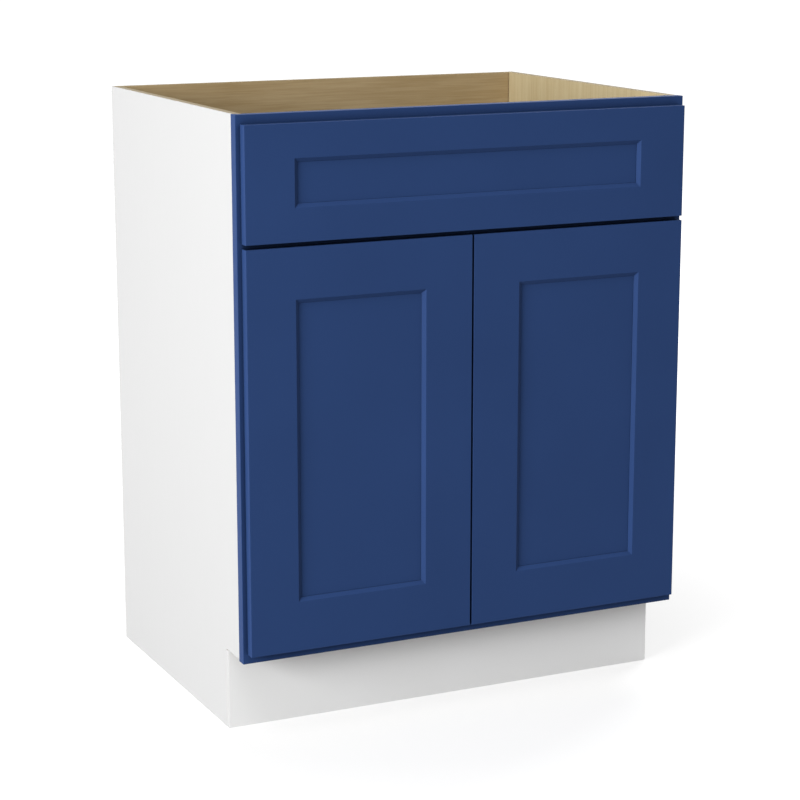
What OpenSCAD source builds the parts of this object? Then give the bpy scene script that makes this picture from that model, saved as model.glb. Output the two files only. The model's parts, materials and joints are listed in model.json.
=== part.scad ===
// Vanity base cabinet: framed box with an open top, one fixed false front and a pair of doors.
// Millimetres. +X is to the right, +Y to the back, +Z up. The origin is on the floor, at the
// middle of the width and of the overall depth. The doors face -Y.

/* [Cabinet] */
// Width across the face frame
frame_w = 693.7; // [560:0.1:900]
// Height from the floor to the top edge
cabinet_h = 876.3; // [760:0.1:940]
// Depth from the front of the face frame to the back
cabinet_d = 517.5; // [400:0.1:620]
// Step from the frame's outer edge in to the side panel
side_inset = 1.75; // [0.5:0.05:2.5]

/* [Box panels] */
// Thickness of the side panels
side_t = 12.7; // [12:0.1:15]
// Thickness of the back panel
back_t = 12.7; // [9:0.1:15]
// Thickness of the bottom deck
deck_t = 12.7; // [10:0.1:16]
// Depth of the dados and rabbets cut in the side and back panels
dado_d = 4.8; // [3:0.1:5.5]
// Drop from the top of the bottom frame rail to the deck
deck_drop = 6.4; // [4:0.1:8]

/* [Toe kick] */
// Height of the toe kick, from the floor to the face frame
toe_h = 115.3; // [80:0.1:140]
// Depth of the toe kick, from the front of the face frame to the toe board
toe_recess = 63.5; // [45:0.1:90]
// Thickness of the white toe board laid over the side panels
toe_board_t = 6.4; // [5:0.1:10]
// Thickness of the rail behind the toe board
toe_rail_t = 12.7; // [10:0.1:18]
// Height of the side panels' notch above the frame's lower edge
notch_rise = 1.6; // [0.5:0.1:3]

/* [Face frame] */
// Thickness of the face frame
frame_t = 15.9; // [15.6:0.05:19.1]
// Width of the frame's stiles
frame_stile_w = 38.1; // [36:0.1:44]
// Width of the frame's rails
frame_rail_w = 38.1; // [38:0.1:43]
// Length of the tenons on the frame's rails
frame_tenon_l = 12; // [8:0.5:14]
// Thickness of the tenons on the frame's rails
frame_tenon_t = 6; // [5:0.1:7]
// Shoulder above and below each frame tenon
frame_shoulder = 6; // [4:0.5:8]
// Thickness of the tongue along the front of each side panel
side_tongue_t = 6.4; // [5:0.1:7]
// Length of that tongue, in the groove of the frame stile
side_tongue_l = 4.8; // [4:0.1:6]

/* [Doors and false front] */
// Thickness of the doors and of the false front
door_t = 15; // [14:0.1:18]
// Gap between the back of the doors and the face frame
door_gap = 0.9; // [0.8:0.05:1.5]
// Overlap of each door on the frame stile, set by the hinge
door_overlay = 31.8; // [31.4:0.1:32.2]
// Frame shown above the false front
top_reveal = 12.6; // [8:0.1:16]
// Frame shown below the doors
bottom_reveal = 13.5; // [9:0.1:18]
// Height of the false front
false_front_h = 159.8; // [140:0.1:200]
// Gap between the false front and the doors
front_gap = 6.1; // [4:0.1:8]
// Gap between the two doors
door_mid_gap = 3; // [2.5:0.1:5]
// Width of the stiles, and of the door rails, bevel included
stile_w = 77; // [64:0.1:90]
// Width of the false front's rails, bevel included
false_rail_w = 52; // [48:0.1:60]

/* [Cope and stick joints] */
// Width of the bevel round each panel
bevel_w = 5.5; // [4:0.1:6.5]
// Depth of the bevel, from the front face to the panel
bevel_d = 4.5; // [3:0.1:5]
// Flat edge left at the foot of the bevel
bevel_lip = 0.6; // [0.3:0.1:1.2]
// Thickness of the flat panels
panel_t = 6.35; // [5:0.05:7]
// Depth of the groove that holds a panel
groove_d = 9; // [7:0.1:11]
// Play left round a panel in its grooves
panel_play = 0.8; // [0.3:0.1:2]

/* [Hinges] */
// Distance from a door's end to the centre of its hinge
hinge_from_end = 89; // [76:0.5:130]
// Diameter of the hinge cup
cup_dia = 35; // [34:0.5:36]
// Depth of the hinge cup
cup_depth = 11.2; // [10.6:0.1:11.6]
// Distance from the door's outer edge to the centre of the cup
cup_centre = 21.5; // [21:0.1:22]
// Thickness of the cup's flange, let in flush with the back of the door
cup_flange_t = 0.8; // [0.6:0.1:1]
// Height of the hinge arm
arm_h = 12; // [8:0.5:12.5]
// Thickness of the hinge arm
arm_t = 2.6; // [2:0.1:2.8]
// Height of the hinge bracket on the frame
bracket_h = 48; // [46:0.5:60]
// Thickness of the hinge bracket's plate
bracket_t = 1.5; // [1:0.1:2]
// Radius of the pin between the bracket and the arm
frame_pin_r = 2; // [1.5:0.1:2.2]
// Radius of the pin between the arm and the cup
cup_pin_r = 1.25; // [1:0.05:1.25]

/* [Corner braces] */
// Length of each side of a corner brace
brace_l = 88; // [60:0.5:110]
// Thickness of the brace's plate and flanges
brace_t = 4; // [3:0.1:5]
// Height of the brace's flanges
brace_h = 18; // [14:0.5:19]
// Drop from the top of the cabinet to the top of the brace
brace_drop = 18; // [15:0.5:19]
// Diameter of the hole for the screw that holds the vanity top
top_screw_hole_dia = 5; // [4:0.1:6]

/* [False front brackets] */
// Width of each bracket
clip_w = 20; // [16:0.5:26]
// Length of each bracket's legs
clip_leg = 16; // [14:0.5:17]
// Thickness of each bracket
clip_t = 1.2; // [1:0.1:1.6]
// Distance from the frame stile to the middle of a bracket
clip_from_stile = 60; // [30:1:120]

/* [Fasteners] */
// Radius of the screws' shanks
screw_r = 1.75; // [1.4:0.05:2]
// Radius of the screws' pan heads
screw_head_r = 3.5; // [3:0.1:4]
// Height of the screws' pan heads
screw_head_h = 1.8; // [1.5:0.1:2.2]
// Length of the screws' shanks
screw_l = 11; // [8:0.5:12]
// Radius of the door bumpers
bumper_r = 4; // [3:0.1:5]
// Gap left between a bumper and the face frame
bumper_gap = 0.15; // [0.1:0.05:0.3]

/* [Hidden] */

$fn = 48;
// Overshoot of a cutting tool past the face it opens
over = 1;
// Clearance of a glued or slid-in wood joint
fit = 0.1;
// Clearance of a metal part let into wood
let_in = 0.05;

// Planes across the depth
overall_d = cabinet_d + door_gap + door_t;
front_y = -overall_d / 2;
door_back_y = front_y + door_t;
frame_y = door_back_y + door_gap;
frame_back_y = frame_y + frame_t;
back_y = overall_d / 2;
toe_y = frame_y + toe_recess;
notch_y = toe_y + toe_board_t;

// Half widths
frame_x = frame_w / 2;
side_x = frame_x - side_inset;
inside_x = side_x - side_t;
opening_x = frame_x - frame_stile_w;
fronts_x = opening_x + door_overlay;

// Heights
false_top_z = cabinet_h - top_reveal;
false_bottom_z = false_top_z - false_front_h;
door_top_z = false_bottom_z - front_gap;
door_bottom_z = toe_h + bottom_reveal;
door_h = door_top_z - door_bottom_z;
door_w = fronts_x - door_mid_gap / 2;
top_rail_z = cabinet_h - frame_rail_w;
middle_rail_z = false_bottom_z - front_gap / 2 - frame_rail_w / 2;
deck_top_z = toe_h + frame_rail_w - deck_drop;
deck_z = deck_top_z - deck_t;
hinge_z = [door_bottom_z + hinge_from_end, door_top_z - hinge_from_end];

// Panels in their grooves: the groove starts where the bevel ends
groove_t = panel_t + 2 * fit;

// Hinge, seen from above: x runs in from the door's outer edge, y back from the frame's front
pin_off_stile = 8.2;
pin_behind_front = 11;
cup_pin_off = 9;
cup_pin_in = 2.1;
elbow_off = 12.4;
elbow_in = 3.6;
frame_pin = [door_overlay + pin_off_stile, pin_behind_front];
cup_pin = [cup_centre - cup_pin_off, -door_gap - cup_pin_in];
arm_elbow = [cup_centre + elbow_off, -door_gap - elbow_in];
frame_eye_r = 2 * frame_pin_r;
cup_eye_r = 2 * cup_pin_r + 0.1;
pin_play = 0.05;
ear_t = 2;
ear_gap = 0.5;
ear_h = 8;
bracket_from_front = 2;
bracket_depth = 13.5;
cup_wall = 1.7;
cup_floor_t = 1;
cup_mouth_h = 13;
cup_lip_r = cup_dia / 2 + 1.2;
cup_ear_x = 9.5;
cup_ear_z = 22.5;
cup_ear_r = 6;
cup_screw_l = 10;
bracket_screw_z = 17;
bracket_screw_y = 9.5;
arm_eye_h = 1.5 * arm_h;

// Bumpers: a flat head and a stem pushed into the door
bumper_stem_r = 2.5;
bumper_stem_l = 6;
bumper_in = 13;
bumper_top_z = door_top_z - (door_top_z - middle_rail_z) / 2;
bumper_bottom_z = (door_bottom_z + toe_h + frame_rail_w) / 2;

// Places of the screws in a corner brace, measured from the corner along a flange
brace_screw_at = [28, brace_l - 22];
brace_hole_at = 26;
brace_top_z = cabinet_h - brace_drop;
brace_screw_z = brace_top_z - brace_t - (brace_h - brace_t) / 2;

clip_x = opening_x - clip_from_stile;
clip_screw_at = 10;

// A box between two corners
module block(a, b) {
    translate(a) cube(b - a);
}

// The left-hand piece as drawn, or its mirror image
module handed(side) {
    if (side < 0) children();
    else mirror([1, 0, 0]) children();
}

// Pan-head screw: the head stands on z = 0, the shank runs down
module screw(l, grow = 0) {
    translate([0, 0, -l]) cylinder(r = screw_r + grow, h = l);
    if (grow == 0) cylinder(r1 = screw_head_r, r2 = screw_head_r * 0.7, h = screw_head_h);
}

// Box panels

// Side seen from the left: full depth above, stopped at the toe kick below
module side_blank() {
    tongue_y = frame_back_y - side_tongue_l;
    notch_z = toe_h + notch_rise;
    translate([-side_x, 0, 0]) rotate([90, 0, 90]) linear_extrude(side_t)
        polygon([[notch_y, 0], [back_y, 0], [back_y, cabinet_h], [tongue_y, cabinet_h],
            [tongue_y, notch_z], [notch_y, notch_z]]);
}

module side_panel(side) {
    handed(side) difference() {
        side_blank();
        // Rabbet that leaves the tongue for the frame stile
        block([-side_x - over, frame_back_y - side_tongue_l - over, toe_h - over],
            [-inside_x - side_tongue_t, frame_back_y, cabinet_h + over]);
        // Dado for the deck
        block([-inside_x - dado_d, frame_back_y - side_tongue_l - over, deck_z - fit],
            [-inside_x + over, back_y - back_t + over, deck_top_z + fit]);
        // Rabbet for the back panel
        block([-inside_x - dado_d, back_y - back_t, -over],
            [-inside_x + over, back_y + over, cabinet_h + over]);
        corner_brace_screw_set(-1, fit);
    }
}

module back_panel_board() {
    difference() {
        block([-inside_x - dado_d + fit, back_y - back_t, 0],
            [inside_x + dado_d - fit, back_y, cabinet_h]);
        // Dado for the deck
        block([-inside_x - dado_d - over, back_y - back_t - over, deck_z - fit],
            [inside_x + dado_d + over, back_y - back_t + dado_d, deck_top_z + fit]);
    }
}

module deck_board() {
    // The deck fills its dados and reaches into the groove of the bottom frame rail
    block([-inside_x - dado_d + fit, frame_back_y, deck_z],
        [inside_x + dado_d - fit, back_y - back_t + dado_d - fit, deck_top_z]);
    block([-opening_x + fit, frame_back_y - side_tongue_l, deck_z],
        [opening_x - fit, frame_back_y + over, deck_top_z]);
}

module toe_rail_board() {
    block([-inside_x + fit, notch_y, 0], [inside_x - fit, notch_y + toe_rail_t, deck_z]);
}

module toe_cover() {
    block([-side_x, toe_y, 0], [side_x, notch_y, toe_h]);
}

// Face frame

// Rail between the stiles with a stub tenon at each end
module frame_rail(z) {
    tenon_y = frame_y + (frame_t - frame_tenon_t) / 2;
    tenon_x = opening_x + frame_tenon_l;
    block([-opening_x, frame_y, z], [opening_x, frame_back_y, z + frame_rail_w]);
    block([-tenon_x, tenon_y, z + frame_shoulder],
        [tenon_x, tenon_y + frame_tenon_t, z + frame_rail_w - frame_shoulder]);
}

module frame_stile(side) {
    handed(side) difference() {
        block([-frame_x, frame_y, toe_h], [-opening_x, frame_back_y, cabinet_h]);
        // Groove for the tongue of the side panel
        block([-inside_x - side_tongue_t - fit, frame_back_y - side_tongue_l - fit, toe_h - over],
            [-inside_x + fit, frame_back_y + over, cabinet_h + over]);
        for (z = [toe_h, middle_rail_z, top_rail_z]) frame_rail_mortise(z);
        at_left_hinges() bracket_screw_pair(let_in);
        corner_brace_screw_set(-1, fit);
    }
}

// Mortise that takes a rail's tenon in the left stile
module frame_rail_mortise(z) {
    tenon_y = frame_y + (frame_t - frame_tenon_t) / 2;
    block([-opening_x - frame_tenon_l - fit, tenon_y - fit, z + frame_shoulder - fit],
        [-opening_x + over, tenon_y + frame_tenon_t + fit,
            z + frame_rail_w - frame_shoulder + fit]);
}

module top_frame_rail() {
    difference() {
        frame_rail(top_rail_z);
        clip_screw_set(fit);
        for (s = [-1, 1]) corner_brace_screw_set(s, fit);
    }
}

module middle_frame_rail() {
    difference() {
        frame_rail(middle_rail_z);
        clip_screw_set(fit);
    }
}

module bottom_frame_rail() {
    difference() {
        frame_rail(toe_h);
        // Groove for the front edge of the deck
        block([-opening_x - over, frame_back_y - side_tongue_l - fit, deck_z - fit],
            [opening_x + over, frame_back_y + over, deck_top_z + fit]);
    }
}

// Five-piece fronts, drawn with the front face on y = 0 and the lower left corner at the origin

// Section across a stile: x from the outer edge, y from the front face
module stile_section(w) {
    groove_x = w - groove_d;
    polygon([[0, 0], [w - bevel_w, 0], [w, bevel_d - bevel_lip], [w, bevel_d],
        [groove_x, bevel_d], [groove_x, bevel_d + groove_t], [w, bevel_d + groove_t],
        [w, door_t], [0, door_t]]);
}

module front_stile_blank(w, h) {
    linear_extrude(h) stile_section(w);
}

// A rail is moulded along its length, then coped over the stiles at both ends
module front_rail_blank(w, l) {
    translate([l, 0, 0]) rotate([0, -90, 0]) linear_extrude(l) stile_section(w);
}

module front_rail(width, h, rail_w, top) {
    start_x = stile_w - groove_d + fit;
    difference() {
        translate([start_x, 0, top ? h : 0]) mirror([0, 0, top ? 1 : 0])
            front_rail_blank(rail_w, width - 2 * start_x);
        front_stile_blank(stile_w, h);
        translate([width, 0, 0]) mirror([1, 0, 0]) front_stile_blank(stile_w, h);
    }
}

module front_panel(width, h, rail_w) {
    in_x = stile_w - groove_d + panel_play;
    in_z = rail_w - groove_d + panel_play;
    block([in_x, bevel_d + fit, in_z], [width - in_x, bevel_d + fit + panel_t, h - in_z]);
}

// Fixed false front

module at_false_front() {
    translate([-fronts_x, front_y, false_bottom_z]) children();
}

module false_stile(side) {
    handed(side) at_false_front() front_stile_blank(stile_w, false_front_h);
}

module false_rail(top) {
    difference() {
        at_false_front() front_rail(2 * fronts_x, false_front_h, false_rail_w, top);
        clip_screw_set(fit);
    }
}

// Brackets: one leg on the back of the false front, one on the frame rail

module at_clips() {
    for (x = [-clip_x, clip_x]) {
        translate([x, door_back_y, top_rail_z]) children();
        translate([x, door_back_y, middle_rail_z + frame_rail_w]) mirror([0, 0, 1]) children();
    }
}

module clip() {
    difference() {
        union() {
            block([-clip_w / 2, 0, -clip_t], [clip_w / 2, clip_leg, 0]);
            block([-clip_w / 2, 0, -clip_leg], [clip_w / 2, clip_t, 0]);
        }
        translate([0, clip_t, -clip_screw_at]) rotate([-90, 0, 0])
            translate([0, 0, -clip_t - over]) cylinder(r = screw_r + fit, h = clip_t + 2 * over);
        translate([0, clip_screw_at, -clip_t - over])
            cylinder(r = screw_r + fit, h = clip_t + 2 * over);
    }
}

module clip_screw_pair(grow) {
    translate([0, clip_t, -clip_screw_at]) rotate([-90, 0, 0]) screw(screw_l, grow);
    translate([0, clip_screw_at, -clip_t]) rotate([180, 0, 0]) screw(screw_l, grow);
}

module clip_screw_set(grow = 0) {
    at_clips() clip_screw_pair(grow);
}

// Doors, drawn as the left one

module at_left_door() {
    translate([-fronts_x, front_y, door_bottom_z]) children();
}

module door_hinge_stile(side) {
    handed(side) difference() {
        at_left_door() front_stile_blank(stile_w, door_h);
        at_left_hinges() {
            cup_bore();
            cup_screw_pair(let_in);
        }
    }
}

module door_meeting_stile(side) {
    handed(side) difference() {
        at_left_door() translate([door_w, 0, 0]) mirror([1, 0, 0])
            front_stile_blank(stile_w, door_h);
        bumper_stems(let_in);
    }
}

module door_rail(side, top) {
    handed(side) at_left_door() front_rail(door_w, door_h, stile_w, top);
}

module door_panel(side) {
    handed(side) at_left_door() front_panel(door_w, door_h, stile_w);
}

module bumper_stems(grow = 0) {
    for (z = [bumper_bottom_z, bumper_top_z])
        translate([-door_mid_gap / 2 - bumper_in, door_back_y, z]) rotate([90, 0, 0])
            cylinder(r = bumper_stem_r + grow, h = bumper_stem_l + grow);
}

module door_bumpers(side) {
    head_h = door_gap - bumper_gap;
    handed(side) {
        bumper_stems();
        for (z = [bumper_bottom_z, bumper_top_z])
            translate([-door_mid_gap / 2 - bumper_in, door_back_y, z]) rotate([-90, 0, 0])
                cylinder(r1 = bumper_r, r2 = bumper_r - head_h / 2, h = head_h);
    }
}

// Concealed hinges, drawn in plan at the left door's outer edge

module at_left_hinges() {
    for (z = hinge_z) translate([-fronts_x, frame_y, z]) children();
}

// Cylinder along Z, centred on its height, at a point of the plan
module upright(p, r, h) {
    translate([p[0], p[1], -h / 2]) cylinder(r = r, h = h);
}

// Straight bar in plan between two points
module bar(a, b, w) {
    d = b - a;
    translate(a) rotate(atan2(d[1], d[0])) translate([0, -w / 2]) square([norm(d), w]);
}

// Base plate on the frame stile's edge, with two ears for the pin
module hinge_bracket() {
    ear_z = arm_h / 2 + ear_gap;
    difference() {
        union() {
            block([door_overlay, bracket_from_front, -bracket_h / 2],
                [door_overlay + bracket_t, bracket_from_front + bracket_depth, bracket_h / 2]);
            for (z = [ear_z, -ear_z - ear_t]) translate([0, 0, z]) {
                linear_extrude(ear_t) {
                    translate([door_overlay + bracket_t / 2, frame_pin[1] - ear_h / 2])
                        square([frame_pin[0] - door_overlay - bracket_t / 2, ear_h]);
                    translate(frame_pin) circle(r = ear_h / 2);
                }
            }
        }
        upright(frame_pin, frame_pin_r, bracket_h);
        for (z = [-bracket_screw_z, bracket_screw_z])
            translate([door_overlay + bracket_t, bracket_screw_y, z]) rotate([0, 90, 0])
                translate([0, 0, -bracket_t - over])
                    cylinder(r = screw_r + fit, h = bracket_t + 2 * over);
    }
}

module bracket_screw_pair(grow = 0) {
    for (z = [-bracket_screw_z, bracket_screw_z])
        translate([door_overlay + bracket_t, bracket_screw_y, z]) rotate([0, 90, 0])
            screw(screw_l, grow);
}

module frame_pin_solid() {
    upright(frame_pin, frame_pin_r, arm_h + 2 * (ear_gap + ear_t));
}

// Bent arm from the bracket's pin, round the frame's edge and into the cup
module hinge_arm() {
    difference() {
        union() {
            translate([0, 0, -arm_h / 2]) linear_extrude(arm_h) {
                bar(cup_pin, arm_elbow, arm_t);
                bar(arm_elbow, frame_pin, arm_t);
                translate(arm_elbow) circle(d = arm_t);
                translate(frame_pin) circle(r = frame_eye_r);
            }
            upright(cup_pin, cup_eye_r, arm_eye_h);
        }
        upright(cup_pin, cup_pin_r + pin_play, arm_eye_h + over);
        upright(frame_pin, frame_pin_r + pin_play, arm_h + over);
    }
}

module cup_axis(y) {
    translate([cup_centre, y, 0]) rotate([90, 0, 0]) children();
}

// Flange outline: round lip and an ear each side for the screws
module cup_flange(grow = 0) {
    cup_axis(-door_gap) {
        cylinder(r = cup_lip_r + grow, h = cup_flange_t);
        translate([cup_ear_x, 0, 0]) {
            for (z = [-cup_ear_z, cup_ear_z])
                translate([0, z, 0]) cylinder(r = cup_ear_r + grow, h = cup_flange_t);
            translate([-cup_ear_r - grow, -cup_ear_z, 0])
                cube([2 * (cup_ear_r + grow), 2 * cup_ear_z, cup_flange_t]);
        }
    }
}

module cup_bore() {
    cup_flange(let_in);
    cup_axis(-door_gap) cylinder(r = cup_dia / 2 + let_in, h = cup_depth + let_in);
    translate([0, over, 0]) cup_flange(let_in);
}

module hinge_cup() {
    inner_r = cup_dia / 2 - cup_wall;
    mouth_x = inner_r - 0.2;
    difference() {
        union() {
            cup_flange();
            cup_axis(-door_gap) cylinder(r = cup_dia / 2, h = cup_depth);
        }
        cup_axis(-door_gap + over) cylinder(r = inner_r, h = cup_depth - cup_floor_t + over);
        // Straight-sided mouth that lets the arm pass
        block([cup_centre - mouth_x, -door_gap - cup_depth + cup_floor_t, -cup_mouth_h / 2],
            [cup_centre + mouth_x, -door_gap + over, cup_mouth_h / 2]);
        upright(cup_pin, cup_pin_r, cup_dia);
        for (z = [-cup_ear_z, cup_ear_z]) translate([cup_ear_x, 0, z]) cup_axis(-door_gap + over)
            cylinder(r = screw_r + fit, h = cup_flange_t + 2 * over);
    }
}

// The pin ends inside the cup's round wall
module cup_pin_solid() {
    off = cup_centre - cup_pin[0];
    reach = sqrt(pow(cup_dia / 2, 2) - pow(off + cup_pin_r, 2));
    upright(cup_pin, cup_pin_r, 2 * (reach - fit));
}

// Low heads, no prouder than the gap behind the door allows
module cup_screw_pair(grow = 0) {
    head_h = door_gap / 2;
    for (z = [-cup_ear_z, cup_ear_z]) translate([cup_ear_x, 0, z]) cup_axis(-door_gap) {
        cylinder(r = screw_r + grow, h = cup_screw_l + grow);
        if (grow == 0) mirror([0, 0, 1])
            cylinder(r1 = screw_head_r, r2 = screw_head_r * 0.7, h = head_h);
    }
}

// Corner braces at the top of the frame, drawn as the left one

module corner_brace(side) {
    handed(side) translate([-inside_x, frame_back_y, brace_top_z]) difference() {
        union() {
            translate([0, 0, -brace_t]) linear_extrude(brace_t)
                polygon([[0, 0], [brace_l, 0], [brace_l, brace_t], [brace_t, brace_l],
                    [0, brace_l]]);
            block([0, 0, -brace_h], [brace_l, brace_t, 0]);
            block([0, 0, -brace_h], [brace_t, brace_l, 0]);
        }
        translate([brace_hole_at, brace_hole_at, -brace_t - over])
            cylinder(d = top_screw_hole_dia, h = brace_t + 2 * over);
        for (a = brace_screw_at) translate([0, 0, brace_screw_z - brace_top_z]) {
            translate([a, -over, 0]) rotate([-90, 0, 0])
                cylinder(r = screw_r + fit, h = brace_t + 2 * over);
            translate([-over, a, 0]) rotate([0, 90, 0])
                cylinder(r = screw_r + fit, h = brace_t + 2 * over);
        }
    }
}

// Screws through the brace into the frame and into the side panel
module corner_brace_screw_set(side, grow = 0) {
    handed(side) translate([-inside_x, frame_back_y, brace_screw_z]) for (a = brace_screw_at) {
        translate([a, brace_t, 0]) rotate([-90, 0, 0]) screw(screw_l, grow);
        translate([brace_t, a, 0]) rotate([0, 90, 0]) screw(screw_l, grow);
    }
}

// Colours
blue = [0.16, 0.25, 0.42];
white = [0.93, 0.93, 0.93];
maple = [0.72, 0.63, 0.47];
zinc = [0.72, 0.73, 0.75];
steel = [0.55, 0.56, 0.58];
nylon = [0.86, 0.84, 0.79];
clear = [0.8, 0.82, 0.84];

// Sub-parts
module left_side_panel() { color(white) side_panel(-1); }
module right_side_panel() { color(white) side_panel(1); }
module back_panel() { color(maple) back_panel_board(); }
module bottom_deck() { color(maple) deck_board(); }
module toe_rail() { color(maple) toe_rail_board(); }
module toe_kick_board() { color(white) toe_cover(); }
module frame_left_stile() { color(blue) frame_stile(-1); }
module frame_right_stile() { color(blue) frame_stile(1); }
module frame_top_rail() { color(blue) top_frame_rail(); }
module frame_middle_rail() { color(blue) middle_frame_rail(); }
module frame_bottom_rail() { color(blue) bottom_frame_rail(); }
module left_corner_brace() { color(nylon) corner_brace(-1); }
module right_corner_brace() { color(nylon) corner_brace(1); }
module corner_brace_screws() { color(zinc) for (s = [-1, 1]) corner_brace_screw_set(s); }
module false_front_left_stile() { color(blue) false_stile(-1); }
module false_front_right_stile() { color(blue) false_stile(1); }
module false_front_top_rail() { color(blue) false_rail(true); }
module false_front_bottom_rail() { color(blue) false_rail(false); }
module false_front_panel() {
    color(blue) at_false_front() front_panel(2 * fronts_x, false_front_h, false_rail_w);
}
module false_front_brackets() { color(zinc) at_clips() clip(); }
module false_front_bracket_screws() { color(zinc) clip_screw_set(); }
module left_door_hinge_stile() { color(blue) door_hinge_stile(-1); }
module left_door_meeting_stile() { color(blue) door_meeting_stile(-1); }
module left_door_top_rail() { color(blue) door_rail(-1, true); }
module left_door_bottom_rail() { color(blue) door_rail(-1, false); }
module left_door_panel() { color(blue) door_panel(-1); }
module left_door_bumpers() { color(clear) door_bumpers(-1); }
module right_door_hinge_stile() { color(blue) door_hinge_stile(1); }
module right_door_meeting_stile() { color(blue) door_meeting_stile(1); }
module right_door_top_rail() { color(blue) door_rail(1, true); }
module right_door_bottom_rail() { color(blue) door_rail(1, false); }
module right_door_panel() { color(blue) door_panel(1); }
module right_door_bumpers() { color(clear) door_bumpers(1); }
module left_hinge_brackets() { color(zinc) at_left_hinges() hinge_bracket(); }
module left_hinge_frame_pins() { color(steel) at_left_hinges() frame_pin_solid(); }
module left_hinge_bracket_screws() { color(zinc) at_left_hinges() bracket_screw_pair(); }
module left_hinge_arms() { color(zinc) at_left_hinges() hinge_arm(); }
module left_hinge_cups() { color(zinc) at_left_hinges() hinge_cup(); }
module left_hinge_cup_pins() { color(steel) at_left_hinges() cup_pin_solid(); }
module left_hinge_cup_screws() { color(zinc) at_left_hinges() cup_screw_pair(); }
module right_hinge_brackets() { color(zinc) handed(1) at_left_hinges() hinge_bracket(); }
module right_hinge_frame_pins() { color(steel) handed(1) at_left_hinges() frame_pin_solid(); }
module right_hinge_bracket_screws() {
    color(zinc) handed(1) at_left_hinges() bracket_screw_pair();
}
module right_hinge_arms() { color(zinc) handed(1) at_left_hinges() hinge_arm(); }
module right_hinge_cups() { color(zinc) handed(1) at_left_hinges() hinge_cup(); }
module right_hinge_cup_pins() { color(steel) handed(1) at_left_hinges() cup_pin_solid(); }
module right_hinge_cup_screws() { color(zinc) handed(1) at_left_hinges() cup_screw_pair(); }

left_side_panel();
right_side_panel();
back_panel();
bottom_deck();
toe_rail();
toe_kick_board();
frame_left_stile();
frame_right_stile();
frame_top_rail();
frame_middle_rail();
frame_bottom_rail();
left_corner_brace();
right_corner_brace();
corner_brace_screws();
false_front_left_stile();
false_front_right_stile();
false_front_top_rail();
false_front_bottom_rail();
false_front_panel();
false_front_brackets();
false_front_bracket_screws();
left_door_hinge_stile();
left_door_meeting_stile();
left_door_top_rail();
left_door_bottom_rail();
left_door_panel();
left_door_bumpers();
right_door_hinge_stile();
right_door_meeting_stile();
right_door_top_rail();
right_door_bottom_rail();
right_door_panel();
right_door_bumpers();
left_hinge_brackets();
left_hinge_frame_pins();
left_hinge_bracket_screws();
left_hinge_arms();
left_hinge_cups();
left_hinge_cup_pins();
left_hinge_cup_screws();
right_hinge_brackets();
right_hinge_frame_pins();
right_hinge_bracket_screws();
right_hinge_arms();
right_hinge_cups();
right_hinge_cup_pins();
right_hinge_cup_screws();
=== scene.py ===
# %% [markdown]
# # A painted vanity base cabinet
#
# The cabinet is already built, board by board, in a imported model. Here each board gets its
# finish: navy paint on the doors and the frame, white laminate outside, maple veneer inside,
# nickel on the hinges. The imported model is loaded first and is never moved, so that everything
# made here lands on the real boards.

# %% Load the cabinet
import json
import math

import bmesh
import bpy
from mathutils import Matrix, Vector


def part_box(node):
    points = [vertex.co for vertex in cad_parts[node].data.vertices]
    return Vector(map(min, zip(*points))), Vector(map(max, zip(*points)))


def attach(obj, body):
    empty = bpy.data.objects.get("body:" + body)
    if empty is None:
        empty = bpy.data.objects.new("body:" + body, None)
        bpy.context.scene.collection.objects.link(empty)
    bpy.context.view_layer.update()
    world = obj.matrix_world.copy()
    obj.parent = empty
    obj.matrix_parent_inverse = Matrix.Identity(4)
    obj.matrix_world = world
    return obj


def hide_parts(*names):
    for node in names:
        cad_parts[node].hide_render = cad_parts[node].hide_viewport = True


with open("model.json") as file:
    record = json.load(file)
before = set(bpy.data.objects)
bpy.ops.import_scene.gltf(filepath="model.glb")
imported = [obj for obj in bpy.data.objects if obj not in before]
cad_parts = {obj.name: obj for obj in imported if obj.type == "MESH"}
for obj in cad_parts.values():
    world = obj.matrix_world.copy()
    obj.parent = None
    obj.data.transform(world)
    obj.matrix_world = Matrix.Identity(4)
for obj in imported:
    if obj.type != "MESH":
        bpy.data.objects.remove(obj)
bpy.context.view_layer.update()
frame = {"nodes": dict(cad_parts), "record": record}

nodes = frame["nodes"]
print("boards and fittings loaded:", len(nodes))

# %% [markdown]
# ## The camera
#
# The photograph was taken from the left, a little above the top edge. A camera can be aimed by
# eye, but here its place was worked out from the corners of the cabinet in the photograph: if
# the corners agree, every board in between agrees too. Its aim is given as two turns, one round
# the upright axis and one down from the level.

# %% Place the camera
camera_data = bpy.data.cameras.new("camera")
camera_data.lens = 101.68
camera_data.sensor_width = 36.0
camera = bpy.data.objects.new("camera", camera_data)
camera.location = (-1.434393, -3.037932, 1.155351)
camera.rotation_euler = (math.radians(90 - 12.532), 0, math.radians(-25.483))
bpy.context.scene.collection.objects.link(camera)
bpy.context.scene.camera = camera
bpy.context.scene.view_settings.view_transform = "Standard"
print("camera lens in millimetres:", camera_data.lens)

# %% [markdown]
# ## The studio
#
# The cabinet stands on a white floor in front of nothing at all. More light would turn the floor
# white, but it would bleach the cabinet too. Instead the floor and the sky add white of their own,
# only for rays that come straight from the camera, off something glossy or through something
# clear. Rays that carry light to the cabinet see a plain floor that sends little back up, so that
# what faces down stays dark. Near the cabinet the floor adds less white, just enough to turn the
# open floor white while the cabinet's shadow still shows.

# %% Helpers for node trees
def start_finish(name):
    """A new material, with its node tree and its Principled shader."""
    finish = bpy.data.materials.new(name)
    finish.use_nodes = True
    tree = finish.node_tree
    shader = tree.nodes["Principled BSDF"]
    return finish, tree, shader


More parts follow.
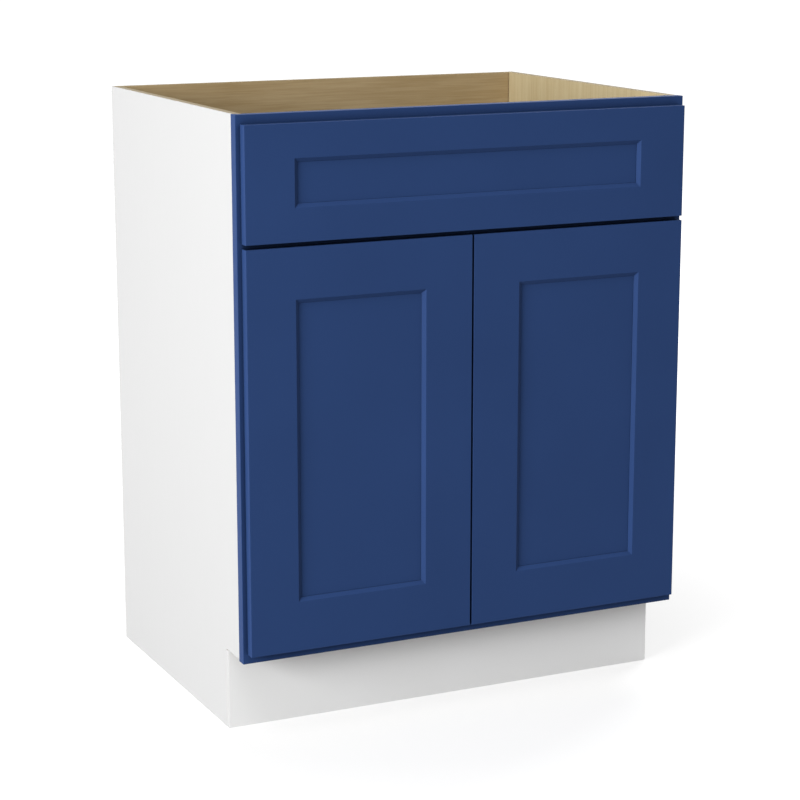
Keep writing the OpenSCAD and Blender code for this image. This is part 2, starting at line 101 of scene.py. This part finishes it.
def add(tree, kind, **settings):
    """Adds a node; settings that are sockets get a value or a link, others are properties."""
    node = tree.nodes.new("ShaderNode" + kind)
    for key, value in settings.items():
        if hasattr(node, key):
            setattr(node, key, value)
            continue
        socket = node.inputs[int(key[1:])] if key[0] == "i" and key[1:].isdigit() \
            else node.inputs[key.replace("_", " ")]
        if isinstance(value, bpy.types.NodeSocket):
            tree.links.new(value, socket)
        else:
            socket.default_value = value
    return node


def seen_directly(tree):
    """1 for rays from the camera or off something glossy or clear, 0 for rays of light."""
    path = add(tree, "LightPath")
    glossy = add(tree, "Math", operation="MAXIMUM", i0=path.outputs["Is Camera Ray"],
                 i1=path.outputs["Is Glossy Ray"])
    clear = add(tree, "Math", operation="MAXIMUM", i0=glossy.outputs[0],
                i1=path.outputs["Is Transmission Ray"])
    return clear.outputs[0]


# %% Sky
sky_light = 0.29

world = bpy.data.worlds.new("studio")
bpy.context.scene.world = world
world.use_nodes = True
sky = world.node_tree
sky.nodes.clear()
strength = add(sky, "MapRange", Value=seen_directly(sky), To_Min=sky_light, To_Max=1.0)
background = add(sky, "Background", Color=(1, 1, 1, 1), Strength=strength.outputs[0])
add(sky, "OutputWorld", Surface=background.outputs[0])
print("sky light on the cabinet:", sky_light)

# %% Floor
floor_half = 30.0
near_white, far_white = 0.64, 1.0
near_edge, far_edge = 0.45, 1.6
tone_for_light, tone_for_camera = 0.28, 0.4

floor_mesh = bpy.data.meshes.new("studio_floor")
bm = bmesh.new()
bmesh.ops.create_grid(bm, x_segments=1, y_segments=1, size=floor_half)
bm.to_mesh(floor_mesh)
bm.free()
floor = bpy.data.objects.new("studio_floor", floor_mesh)
bpy.context.scene.collection.objects.link(floor)

floor_paint = bpy.data.materials.new("studio_floor_paint")
floor_paint.use_nodes = True
tree = floor_paint.node_tree
tree.nodes.clear()
direct = seen_directly(tree)
floor_tone = add(tree, "MapRange", Value=direct, To_Min=tone_for_light, To_Max=tone_for_camera)
floor_matt = add(tree, "BsdfDiffuse", Color=floor_tone.outputs[0])
away = add(tree, "VectorMath", operation="LENGTH", i0=add(tree, "TexCoord").outputs["Object"])
own_white = add(tree, "MapRange", Value=away.outputs["Value"], From_Min=near_edge,
                From_Max=far_edge, To_Min=near_white, To_Max=far_white)
floor_glow = add(tree, "Math", operation="MULTIPLY", i0=own_white.outputs[0], i1=direct)
floor_white = add(tree, "Emission", Color=(1, 1, 1, 1), Strength=floor_glow.outputs[0])
floor_sum = add(tree, "AddShader", i0=floor_matt.outputs[0], i1=floor_white.outputs[0])
add(tree, "OutputMaterial", Surface=floor_sum.outputs[0])
floor_mesh.materials.append(floor_paint)
print("floor half width in metres:", floor_half)

# %% [markdown]
# ## The lamps
#
# In the photograph the left edges of the doors are the lightest, the fronts are even, and what
# faces right or down is nearly black-blue. So a large soft lamp stands well to the left and a
# little above, with a weak one between it and the camera and a weak one high up, which draws
# the thin light lines along the top edges. The last lamp stands behind on the right. It reaches
# nothing that the photograph shows but those top edges; it is there for whoever walks round the
# cabinet. All are far off: a near lamp would light the top of the side more than its foot. Big
# lamps give soft edges to the shadows; small ones would draw hard lines under the doors.

# %% Lamps
def softbox(name, place, aim, side, watts):
    """A square lamp that looks from its place to its aim."""
    data = bpy.data.lights.new(name, "AREA")
    data.shape = "RECTANGLE"
    data.size = side
    data.size_y = side
    data.energy = watts
    lamp = bpy.data.objects.new(name, data)
    lamp.location = place
    lamp.rotation_euler = (Vector(aim) - Vector(place)).to_track_quat("-Z", "Y").to_euler()
    bpy.context.scene.collection.objects.link(lamp)
    return lamp


middle = Vector((0, 0, 0.45))
lamp_distance = 6.5
lamp_side = 2.8


def around(turn, rise):
    """A place at lamp distance, a turn to the right of the front and a rise above the level."""
    turn, rise = math.radians(turn), math.radians(rise)
    return middle + lamp_distance * Vector((math.cos(rise) * math.sin(turn),
                                            -math.cos(rise) * math.cos(turn), math.sin(rise)))


for name, turn, rise, watts in (("lamp_left", -67, 13, 465.0),
                                ("lamp_front_left", -35, 20, 60.0),
                                ("lamp_high", -50, 60, 100.0),
                                ("lamp_behind", 130, 42, 220.0)):
    softbox(name, around(turn, rise), middle, lamp_side, watts)

# %% [markdown]
# ## Navy paint
#
# The doors and the face frame are sprayed with a satin enamel. Under the paint the grain of the
# wood is just felt, and the spray leaves a very fine orange peel. Both are too shallow to model,
# so they are bump. Grain runs along each board, so a stretched noise needs to know which way a
# board lies: one finish is made for upright boards and one for level ones.
#
# Shade is painted into the navy where two fronts nearly touch, down to close to black, and on the
# panels towards the bevel round them. An Ambient Occlusion node tells how closed in a spot is,
# and the colour is darkened by it. A door that swings open leaves its gap, and the frame behind
# it is plain again.

# %% Wood grain under paint
UPRIGHT, LEVEL = "upright", "level"
ALONG = {UPRIGHT: 2, LEVEL: 0}


def stretched(tree, lie, across, along):
    """Object coordinates squeezed so that a pattern runs along the board."""
    where = add(tree, "TexCoord")
    scale = [across, across, across]
    scale[ALONG[lie]] = along
    return add(tree, "Mapping", Vector=where.outputs["Object"], Scale=scale).outputs[0]


def noise(tree, vector, scale=1.0, detail=4.0, roughness=0.55):
    """A noise of the given detail, as a number from 0 to 1."""
    return add(tree, "TexNoise", Vector=vector, Scale=scale, Detail=detail,
               Roughness=roughness).outputs["Fac"]


def ramp(tree, factor, low, high, from_min=0.3, from_max=0.7):
    """Turns a noise into a number between low and high."""
    return add(tree, "MapRange", Value=factor, From_Min=from_min, From_Max=from_max,
               To_Min=low, To_Max=high).outputs[0]


# %% Navy enamel
navy = (0.0240, 0.0545, 0.1615, 1)
# Painted shade: how far the Ambient Occlusion looks for nearby surfaces that darken the navy
painted_shade_reach = 0.022


def navy_enamel(lie):
    """Satin navy enamel over a board that lies the given way, with shade painted into its gaps and
    hollows.
    """
    finish, tree, shader = start_finish("navy_enamel_" + lie)
    plain = add(tree, "TexCoord").outputs["Object"]
    clouds = ramp(tree, noise(tree, plain, scale=5.0, detail=2.0), 0.97, 1.03)
    grain = noise(tree, stretched(tree, lie, 420.0, 14.0), detail=5.0)
    peel = noise(tree, plain, scale=900.0, detail=1.0)
    tone = add(tree, "Mix", data_type="RGBA", blend_type="MULTIPLY", Factor=1.0)
    tone.inputs[6].default_value = navy
    # Painted shade: the colour darkens where a spot is closed in, in gaps and at the foot of bevels
    openness = add(tree, "AmbientOcclusion", samples=6, Distance=painted_shade_reach)
    lit = add(tree, "Math", operation="MULTIPLY", i0=clouds,
              i1=ramp(tree, openness.outputs["AO"], 0.0, 1.0, 0.0, 0.88))
    tree.links.new(lit.outputs[0], tone.inputs[7])
    tree.links.new(tone.outputs[2], shader.inputs["Base Color"])
    rough = ramp(tree, noise(tree, plain, scale=60.0, detail=3.0), 0.46, 0.54)
    tree.links.new(rough, shader.inputs["Roughness"])
    shader.inputs["Specular IOR Level"].default_value = 0.06
    grain_bump = add(tree, "Bump", Height=grain, Strength=0.05, Distance=0.0001)
    peel_bump = add(tree, "Bump", Height=peel, Strength=0.05, Distance=0.0001,
                    Normal=grain_bump.outputs[0])
    tree.links.new(peel_bump.outputs[0], shader.inputs["Normal"])
    return finish


navy_finish = {lie: navy_enamel(lie) for lie in (UPRIGHT, LEVEL)}
print("navy finishes:", [m.name for m in navy_finish.values()])

# %% [markdown]
# ## White laminate, maple veneer and plywood edges
#
# The box is plywood. Each board is white laminate or maple veneer on its faces, and its edges
# show the plies it is glued up from. All three sit on one board, so one finish mixes them: the
# surface's own direction says whether a spot is on a face or on an edge.
#
# The veneer is peeled off the log in a sheet, so its figure is wide and wandering. Contour lines
# of a slow, stretched noise look like that: a sine turns the height of the noise into rings.

# %% Plywood
back_maple = (0.450, 0.340, 0.192, 1), (0.350, 0.248, 0.122, 1)
side_maple = (0.475, 0.395, 0.240, 1), (0.390, 0.305, 0.165, 1)
light_ply = (0.35, 0.28, 0.165, 1), (0.31, 0.25, 0.14, 1)
dark_ply = (0.26, 0.20, 0.105, 1), (0.22, 0.165, 0.08, 1)
# Painted shade: the brown that the veneer darkens to in its corners
corner_painted_shade = (0.13, 0.09, 0.045, 1)
# Painted light: one white laminate in two tones. Facing sideways, on the sides and the toe board's
# ends, it is darkened because the big left lamp falls hard on the left side; the toe board's front,
# in shade under the frame, gets a lighter white
white_darkened_for_side_light = (0.565, 0.565, 0.565, 1)
laminate_thickness = 0.001
ply_thickness = 0.0127 / 9


def axis_of(tree, vector, axis):
    """One number out of a vector, as its size without a sign."""
    split = add(tree, "SeparateXYZ", Vector=vector)
    return add(tree, "Math", operation="ABSOLUTE", i0=split.outputs[axis]).outputs[0]


def mixed(tree, factor, first, second):
    """Mixes two colours, given as colours or as sockets."""
    mix = add(tree, "Mix", data_type="RGBA")
    for socket, value in ((mix.inputs[0], factor), (mix.inputs[6], first), (mix.inputs[7], second)):
        if isinstance(value, bpy.types.NodeSocket):
            tree.links.new(value, socket)
        else:
            socket.default_value = value
    return mix.outputs[2]


def plywood(name, thin_axis, lie, maple, white_beyond=None):
    """Plywood in two tones of maple, white beyond a distance from the middle where one is given."""
    finish, tree, shader = start_finish(name)
    where = add(tree, "TexCoord")
    # Rings of the veneer, and the fine pores between them
    slow = noise(tree, stretched(tree, lie, 5.5, 0.9), detail=3.0, roughness=0.5)
    rings = add(tree, "Math", operation="MULTIPLY", i0=slow, i1=70.0)
    waves = add(tree, "Math", operation="SINE", i0=rings.outputs[0])
    figure = ramp(tree, waves.outputs[0], 0.0, 1.0, -1.0, 1.0)
    pores = noise(tree, stretched(tree, lie, 330.0, 11.0), detail=5.0, roughness=0.65)
    both = add(tree, "Math", operation="MULTIPLY_ADD", i0=figure, i1=0.25,
               i2=ramp(tree, pores, 0.0, 0.5, 0.4, 0.6))
    clouds = add(tree, "Math", operation="ADD", i0=both.outputs[0],
                 i1=ramp(tree, noise(tree, where.outputs["Object"], scale=3.5), -0.2, 0.3))
    veneer = mixed(tree, clouds.outputs[0], *maple)
    # Painted shade: a thin brown line darkens the veneer where two boards meet in a corner
    openness = add(tree, "AmbientOcclusion", samples=6, Distance=0.004).outputs["AO"]
    veneer = mixed(tree, ramp(tree, openness, 0.0, 1.0, 0.35, 0.8), corner_painted_shade, veneer)
    # Plies on the edges
    depth = axis_of(tree, where.outputs["Object"], thin_axis)
    count = add(tree, "Math", operation="DIVIDE", i0=depth, i1=ply_thickness)
    pair = add(tree, "Math", operation="PINGPONG", i0=count.outputs[0], i1=1.0)
    ply = ramp(tree, pair.outputs[0], 0.0, 1.0, 0.42, 0.58)
    fibres = noise(tree, where.outputs["Object"], scale=900.0, detail=3.0)
    edge_light = mixed(tree, ramp(tree, fibres, 0.0, 1.0), *light_ply)
    edge_dark = mixed(tree, ramp(tree, fibres, 0.0, 1.0), *dark_ply)
    edge = mixed(tree, ply, edge_light, edge_dark)
    facing = axis_of(tree, where.outputs["Normal"], thin_axis)
    on_face = add(tree, "Math", operation="GREATER_THAN", i0=facing, i1=0.7).outputs[0]
    colour = mixed(tree, on_face, edge, veneer)
    if white_beyond is not None:
        # Painted light: the laminate outside takes the white darkened for the side light
        beyond = add(tree, "Math", operation="GREATER_THAN", i0=depth, i1=white_beyond).outputs[0]
        colour = mixed(tree, beyond, colour, white_darkened_for_side_light)
    tree.links.new(colour, shader.inputs["Base Color"])
    rough = ramp(tree, pores, 0.38, 0.48)
    tree.links.new(rough, shader.inputs["Roughness"])
    shader.inputs["Specular IOR Level"].default_value = 0.06
    bump = add(tree, "Bump", Height=pores, Strength=0.10, Distance=0.0001)
    tree.links.new(bump.outputs[0], shader.inputs["Normal"])
    return finish


white_from = abs(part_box("left_side_panel")[0][0]) - laminate_thickness
side_finish = plywood("side_panel_finish", "X", UPRIGHT, side_maple, white_from)
back_finish = plywood("back_panel_finish", "Y", LEVEL, back_maple)
deck_finish = plywood("deck_finish", "Z", LEVEL, back_maple)
rail_finish = plywood("toe_rail_finish", "Y", LEVEL, back_maple)
print("white laminate starts at", round(white_from, 4), "m from the middle")

# %% White toe board
def white_laminate():
    """Smooth white laminate with a faint texture pressed into it, its shaded front painted lighter
    than its ends.
    """
    finish, tree, shader = start_finish("white_laminate")
    where = add(tree, "TexCoord").outputs["Object"]
    clouds = ramp(tree, noise(tree, where, scale=4.0, detail=2.0), 0.0, 1.0)
    # Painted light: the front, in shade under the frame, is given a lighter white than the ends
    front = mixed(tree, clouds, (0.92, 0.92, 0.915, 1), (0.94, 0.94, 0.94, 1))
    sideways = axis_of(tree, add(tree, "TexCoord").outputs["Normal"], "X")
    on_end = add(tree, "Math", operation="GREATER_THAN", i0=sideways, i1=0.7).outputs[0]
    tree.links.new(mixed(tree, on_end, front, white_darkened_for_side_light), shader.inputs["Base Color"])
    grit = noise(tree, where, scale=1400.0, detail=2.0)
    tree.links.new(ramp(tree, grit, 0.42, 0.5), shader.inputs["Roughness"])
    shader.inputs["Specular IOR Level"].default_value = 0.3
    bump = add(tree, "Bump", Height=grit, Strength=0.05, Distance=0.0001)
    tree.links.new(bump.outputs[0], shader.inputs["Normal"])
    return finish


toe_finish = white_laminate()

# %% [markdown]
# ## Metal and plastic fittings
#
# The hinges are pressed nickel-plated steel, the screws and angles zinc-plated, the braces
# moulded nylon and the bumpers clear plastic. They differ mostly in how sharp their reflection
# is, so one helper makes them all from a colour, a roughness and how metallic they are.

# %% Fittings
def fitting(name, colour, metallic, rough_low, rough_high, grit_scale, grit_strength):
    """A metal or plastic finish with a fine unevenness."""
    finish, tree, shader = start_finish(name)
    where = add(tree, "TexCoord").outputs["Object"]
    patches = ramp(tree, noise(tree, where, scale=120.0, detail=3.0), 0.0, 1.0)
    darker = tuple(0.86 * c for c in colour[:3]) + (1,)
    tree.links.new(mixed(tree, patches, colour, darker), shader.inputs["Base Color"])
    grit = noise(tree, where, scale=grit_scale, detail=3.0)
    tree.links.new(ramp(tree, grit, rough_low, rough_high), shader.inputs["Roughness"])
    shader.inputs["Metallic"].default_value = metallic
    bump = add(tree, "Bump", Height=grit, Strength=grit_strength, Distance=0.0001)
    tree.links.new(bump.outputs[0], shader.inputs["Normal"])
    return finish


nickel = fitting("nickel_plate", (0.60, 0.585, 0.555, 1), 1.0, 0.36, 0.40, 900.0, 0.03)
zinc = fitting("zinc_plate", (0.58, 0.59, 0.61, 1), 1.0, 0.38, 0.44, 700.0, 0.05)
bare_steel = fitting("turned_steel", (0.50, 0.50, 0.51, 1), 1.0, 0.18, 0.28, 1200.0, 0.05)
nylon = fitting("natural_nylon", (0.74, 0.70, 0.61, 1), 0.0, 0.45, 0.58, 1500.0, 0.12)
clear_plastic = fitting("clear_bumper", (0.80, 0.82, 0.84, 1), 0.0, 0.12, 0.2, 1500.0, 0.03)
clear_plastic.node_tree.nodes["Principled BSDF"].inputs["Transmission Weight"].default_value = 0.8
print("fittings:", [m.name for m in (nickel, zinc, bare_steel, nylon, clear_plastic)])

# %% [markdown]
# ## Every board gets its finish
#
# A finish is chosen by name: stiles stand upright, rails and the false front's panel lie level.

# %% Give out the finishes
def finish_of(name):
    """The finish that a board or fitting is given."""
    for word, finish in (("screws", zinc), ("pins", bare_steel), ("hinge_brackets", nickel),
                         ("hinge_arms", nickel), ("hinge_cups", nickel), ("brackets", zinc),
                         ("bumpers", clear_plastic), ("corner_brace", nylon),
                         ("side_panel", side_finish), ("back_panel", back_finish),
                         ("bottom_deck", deck_finish), ("toe_rail", rail_finish),
                         ("toe_kick", toe_finish), ("rail", navy_finish[LEVEL]),
                         ("false_front_panel", navy_finish[LEVEL])):
        if word in name:
            return finish
    return navy_finish[UPRIGHT]


for name, board in nodes.items():
    board.data.materials.clear()
    board.data.materials.append(finish_of(name))
print("finishes given to", len(nodes), "nodes")

# %% [markdown]
# ## Eased edges
#
# No maker leaves a painted edge razor sharp: paint would rub off it. The outer edges of the
# doors and the frame are sanded to a small round, while the edges inside a glued joint stay
# sharp, or the joints would show as grooves. A Bevel modifier could not tell the two apart. So
# each board is copied, its loose triangles are merged into whole faces, and the bevel is given
# only the edges that lie on the outline of the door or frame that the board belongs to. Smooth
# shading would then bend the light over a whole face to meet its narrow round, so a Weighted
# Normal modifier lets the large faces decide, and they stay flat to the eye.

# %% Helpers for copies of boards
body_of = {name: body for body, names in frame["record"]["behaviour"]["bodies"].items()
           for name in names}
SAME = 2e-5


def whole_faces(name):
    """A bmesh of a board with its triangles merged into whole faces."""
    bm = bmesh.new()
    bm.from_mesh(nodes[name].data)
    bmesh.ops.remove_doubles(bm, verts=bm.verts, dist=1e-6)
    bmesh.ops.dissolve_limit(bm, angle_limit=math.radians(0.5), use_dissolve_boundaries=False,
                             verts=bm.verts, edges=bm.edges, delimit={"NORMAL"})
    return bm


def sharp_edges(bm, angle):
    """Edges whose two faces meet outwards at more than an angle."""
    return [e for e in bm.edges if len(e.link_faces) == 2 and e.is_convex
            and e.calc_face_angle(0) > math.radians(angle)]


def round_off(bm, edges, width, segments=2):
    """Rounds edges with Blender's own bevel, and closes the slivers it leaves at corners."""
    bmesh.ops.bevel(bm, geom=edges, offset=width, offset_type="OFFSET", segments=segments,
                    profile=0.5, affect="EDGES", material=-1, clamp_overlap=True)
    bmesh.ops.dissolve_degenerate(bm, dist=1e-6, edges=bm.edges)


def stand_for(name, bm, ending):
    """Makes a bmesh the piece that stands for a node, on the node's body."""
    mesh = bpy.data.meshes.new(name + ending)
    for face in bm.faces:
        face.smooth = True
    bm.to_mesh(mesh)
    bm.free()
    mesh.set_sharp_from_angle(angle=math.radians(28))
    piece = bpy.data.objects.new(name + ending, mesh)
    bpy.context.scene.collection.objects.link(piece)
    mesh.materials.append(finish_of(name))
    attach(piece, body_of[name])
    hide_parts(name)
    even = piece.modifiers.new("even_shading", "WEIGHTED_NORMAL")
    even.keep_sharp = True
    return piece


# %% Painted frames
def joint_box(names):
    """The box round a group of boards."""
    corners = [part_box(name) for name in names]
    return (Vector([min(c[0][i] for c in corners) for i in range(3)]),
            Vector([max(c[1][i] for c in corners) for i in range(3)]))


def on_outline(edge, low, high):
    """True for an edge on the outline of a door or frame, and not across one of its joints."""
    ends = [v.co for v in edge.verts]
    flush = [i for i in (0, 2) for side in (low[i], high[i])
             if all(abs(end[i] - side) < SAME for end in ends)]
    runs_back = abs(ends[0].y - ends[1].y) > SAME
    return len(flush) == 2 or (len(flush) == 1 and not runs_back)


painted = {
    "false_front": ["left_stile", "right_stile", "top_rail", "bottom_rail"],
    "left_door": ["hinge_stile", "meeting_stile", "top_rail", "bottom_rail"],
    "right_door": ["hinge_stile", "meeting_stile", "top_rail", "bottom_rail"],
    "frame": ["left_stile", "right_stile", "top_rail", "middle_rail", "bottom_rail"],
}
painted_round = 0.0006

for whole, boards in painted.items():
    names = [whole + "_" + board for board in boards]
    low, high = joint_box(names)
    for name in names:
        bm = whole_faces(name)
        outline = [e for e in sharp_edges(bm, 60) if on_outline(e, low, high)]
        round_off(bm, outline, painted_round, 3)
        stand_for(name, bm, "_eased")
    print(whole, "has", len(names), "eased boards")

# %% [markdown]
# The boards of the box and the pressed fittings are rounded too, but along every outward edge,
# because each one ends where its neighbour begins and the line between them shows.

# %% Box boards and fittings
rounds = {"side_panel": 0.0005, "back_panel": 0.0003, "bottom_deck": 0.0003, "toe_rail": 0.0003,
          "toe_kick": 0.0004, "corner_brace": 0.0006, "hinge_brackets": 0.0003,
          "hinge_arms": 0.0004, "hinge_cups": 0.0002, "front_brackets": 0.0003,
          "bumpers": 0.0003}

for name in sorted(nodes):
    width = next((w for word, w in rounds.items() if word in name and "screws" not in name), None)
    if width is None:
        continue
    bm = whole_faces(name)
    round_off(bm, sharp_edges(bm, 50), width)
    stand_for(name, bm, "_eased")
print("box boards and fittings rounded")

# %% [markdown]
# ## Screws
#
# In the imported model a screw is a plain peg with a flat cone for a head. A real pan-head screw
# has a domed head with a cross pressed into it, and a thread. The head and shank are one
# outline spun round the axis. The cross is cut by slicing the dome with a few planes and
# pushing the faces between them down. The thread is a small ridge spun round and round while it
# climbs. Only the heads show on the cabinet, but every screw is made whole, thread and all.

# %% One screw
def pan_screw(shank_r, head_r, head_h, length):
    """A bmesh of a pan-head screw: its seat is on z = 0 and its point is down."""
    bm = bmesh.new()
    outline = [(0, head_h), (0.5 * head_r, 0.95 * head_h), (0.84 * head_r, 0.68 * head_h),
               (head_r, 0.3 * head_h), (head_r, 0.05 * head_h), (0.97 * head_r, 0),
               (0.8 * shank_r, 0), (0.8 * shank_r, -length + 2.5 * shank_r), (0, -length)]
    verts = [bm.verts.new((r, 0, z)) for r, z in outline]
    edges = [bm.edges.new(pair) for pair in zip(verts, verts[1:])]
    bmesh.ops.spin(bm, geom=verts + edges, cent=(0, 0, 0), axis=(0, 0, 1),
                   angle=2 * math.pi, steps=24, use_merge=True)
    bmesh.ops.remove_doubles(bm, verts=bm.verts, dist=1e-7)
    bmesh.ops.recalc_face_normals(bm, faces=bm.faces)
    slot, reach = 0.13 * head_r, 0.55 * head_r
    for axis in (Vector((1, 0, 0)), Vector((0, 1, 0))):
        for offset in (-reach, -slot, slot, reach):
            dome = [f for f in bm.faces if f.calc_center_median().z > 0.5 * head_h]
            # A dict keeps its order, so every run cuts every screw in the same order
            rims = dict.fromkeys([v for f in dome for v in f.verts]
                                 + [e for f in dome for e in f.edges])
            bmesh.ops.bisect_plane(bm, geom=list(rims) + dome, dist=1e-7,
                                   plane_co=axis * offset, plane_no=axis)
    cross = []
    for face in bm.faces:
        middle_point = face.calc_center_median()
        near, far = sorted((abs(middle_point.x), abs(middle_point.y)))
        if middle_point.z > 0.5 * head_h and near < slot and far < reach:
            cross.append(face)
    pushed = bmesh.ops.extrude_face_region(bm, geom=cross)["geom"]
    bmesh.ops.delete(bm, geom=cross, context="FACES_ONLY")
    bottom = [v for v in pushed if isinstance(v, bmesh.types.BMVert)]
    for vert in bottom:
        vert.co = (0.7 * vert.co.x, 0.7 * vert.co.y, 0.25 * head_h)
    pitch = 0.55 * shank_r
    turns = int((length - 3 * shank_r) / pitch)
    low = -length + 2.4 * shank_r
    ridge = [bm.verts.new((0.7 * shank_r, 0, low)), bm.verts.new((shank_r, 0, low + 0.2 * pitch)),
             bm.verts.new((0.7 * shank_r, 0, low + 0.4 * pitch))]
    ridge_edges = [bm.edges.new(pair) for pair in zip(ridge, ridge[1:] + ridge[:1])]
    bm.faces.new(ridge)
    steps = 12 * turns
    end = bmesh.ops.spin(bm, geom=ridge + ridge_edges, cent=(0, 0, 0), axis=(0, 0, 1),
                         angle=2 * math.pi * turns, steps=steps,
                         dvec=(0, 0, pitch / 12))["geom_last"]
    bmesh.ops.contextual_create(bm, geom=[e for e in end if isinstance(e, bmesh.types.BMEdge)])
    bmesh.ops.recalc_face_normals(bm, faces=bm.faces)
    return bm


# %% Every screw in its hole
def islands(bm):
    """The separate solids of a bmesh in its own order, each as a list of its corner points."""
    seen = set()
    for start in bm.verts:
        if start in seen:
            continue
        found, edge_of = set(), {start}
        while edge_of:
            found |= edge_of
            edge_of = {e.other_vert(v) for v in edge_of for e in v.link_edges} - found
        seen |= found
        yield [v.co.copy() for v in bm.verts if v in found]


def screw_place(points, head_h):
    """Where a peg's head sits, which way its point looks, and how long its shank is."""
    low = Vector([min(p[i] for p in points) for i in range(3)])
    high = Vector([max(p[i] for p in points) for i in range(3)])
    size = high - low
    along = max(range(3), key=lambda i: size[i])
    middle_point = (low + high) / 2
    wide = [max((p - middle_point - Vector([(p - middle_point)[i] if i == along else 0
                 for i in range(3)])).length for p in points if abs(p[along] - end) < 1e-4)
            for end in (low[along], high[along])]
    sign = 1 if wide[0] > wide[1] else -1
    point = Vector([sign if i == along else 0 for i in range(3)])
    seat = middle_point.copy()
    seat[along] = (low if sign > 0 else high)[along] + sign * head_h
    return seat, point, size[along] - head_h


shank_radius, head_radius = 0.00175, 0.0035
head_heights = {"corner_brace": 0.0018, "false_front_bracket": 0.0018, "hinge_bracket": 0.0018,
                "hinge_cup": 0.00045}

for name in sorted(n for n in nodes if n.endswith("_screws")):
    head_h = next(h for word, h in head_heights.items() if word in name)
    pegs = whole_faces(name)
    every = bmesh.new()
    count = 0
    for points in islands(pegs):
        seat, point, length = screw_place(points, head_h)
        one = pan_screw(shank_radius, head_radius, head_h, length)
        turn = Vector((0, 0, -1)).rotation_difference(point).to_matrix().to_4x4()
        one.transform(Matrix.Translation(seat) @ turn @ Matrix.Rotation(0.6 * count, 4, "Z"))
        mesh = bpy.data.meshes.new("screw")
        one.to_mesh(mesh)
        one.free()
        every.from_mesh(mesh)
        bpy.data.meshes.remove(mesh)
        count += 1
    pegs.free()
    stand_for(name, every, "_threaded")
    print(name, "has", count, "screws")
